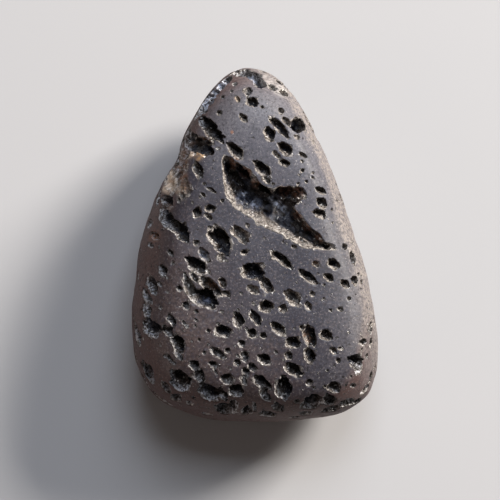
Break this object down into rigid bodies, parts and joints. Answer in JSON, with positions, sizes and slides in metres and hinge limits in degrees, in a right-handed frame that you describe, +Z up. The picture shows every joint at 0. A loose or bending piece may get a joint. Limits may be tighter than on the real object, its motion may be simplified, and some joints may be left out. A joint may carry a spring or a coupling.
{
  "type": "tumbled lava rock",
  "caption": "Satin-tumbled pebble of black vesicular basalt, narrow at one end, pitted all over with slanting gas bubbles and torn open by one long cavity; rests flat",
  "frame": {"origin": "centre of the stone's plan box, on the surface it rests on", "axes": "+Z up out of the resting facet, +Y towards the narrow end, +X to the right seen from above with the narrow end up"},
  "size_m": [0.021, 0.0304, 0.0115],
  "materials": {
    "basalt": "satin tumbled skin, rough glassy vesicles"
  },
  "bodies": {
    "root": {"lava_rock": "basalt"}
  },
  "joints": []
}
